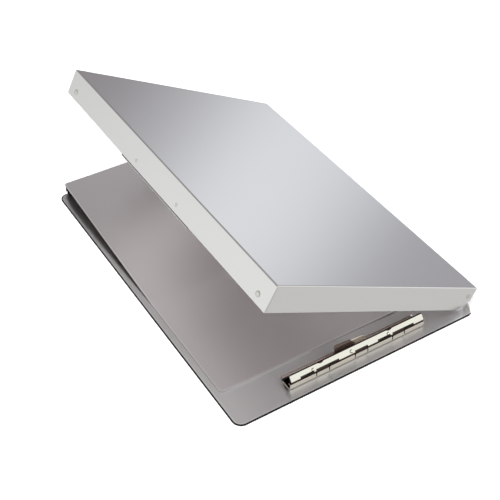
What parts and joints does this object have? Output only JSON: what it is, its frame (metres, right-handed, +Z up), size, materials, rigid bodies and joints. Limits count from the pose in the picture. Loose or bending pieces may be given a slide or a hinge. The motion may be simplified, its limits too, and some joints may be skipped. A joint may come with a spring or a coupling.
{
  "type": "storage clipboard box",
  "caption": "Folded aluminium form-holder box with a side-hinged lid, a writing plate over a storage pocket, and a sprung paper clip.",
  "frame": {"origin": "centre of the base plate's underside, on the desk", "axes": "+X towards the spine hinge, +Y from the clip end to the far end, +Z up"},
  "size_m": [0.249, 0.3441, 0.1317],
  "materials": {
    "aluminium_lid": "fine brushed, bright",
    "aluminium_sheet": "fine brushed",
    "aluminium_plate": "fine brushed, satin",
    "aluminium_strip": "mill finish",
    "aluminium_hinge": "mill finish",
    "aluminium_rivet": "bright",
    "nickel_plated_steel": "bright nickel plate",
    "steel_pin": "drawn wire",
    "spring_steel": "oiled spring wire"
  },
  "bodies": {
    "base": {"base_plate": "aluminium_sheet", "spine_hinge_base_leaf": "aluminium_hinge", "spine_hinge_pin": "steel_pin", "spine_base_rivets": "aluminium_rivet", "plate_hinge_fixed_leaf": "aluminium_hinge", "plate_hinge_pin": "steel_pin", "clip_bracket": "nickel_plated_steel", "clip_pin": "steel_pin", "clip_rivets": "aluminium_rivet"},
    "lid": {"lid_pan": "aluminium_lid", "lid_corner_rivets": "aluminium_rivet", "spine_hinge_lid_leaf": "aluminium_hinge", "spine_lid_rivets": "aluminium_rivet", "latch_strip": "aluminium_strip", "latch_rivets": "aluminium_rivet"},
    "form_rest": {"writing_plate": "aluminium_plate", "plate_hinge_moving_leaf": "aluminium_hinge"},
    "jaw": {"clip_jaw": "nickel_plated_steel", "clip_thumb_tab": "nickel_plated_steel", "clip_spring_left": "spring_steel", "clip_spring_right": "spring_steel"}
  },
  "joints": [
    {"name": "lid_hinge", "type": "hinge", "parent": "base", "child": "lid", "pos_m": [0.12105, 0, 0.0097], "axis": [0, 1, 0], "range_deg": [-26.3, 100.4]},
    {"name": "writing_plate_hinge", "type": "hinge", "parent": "base", "child": "form_rest", "pos_m": [0, 0.1677, 0.0126], "axis": [-1, 0, 0], "range_deg": [0, 4]},
    {"name": "clip_jaw_hinge", "type": "hinge", "parent": "base", "child": "jaw", "pos_m": [0, -0.15645, 0.00905], "axis": [1, 0, 0], "range_deg": [0, 45], "stiffness_Nm_per_rad": 0.06, "springref_deg": -114.59}
  ]
}
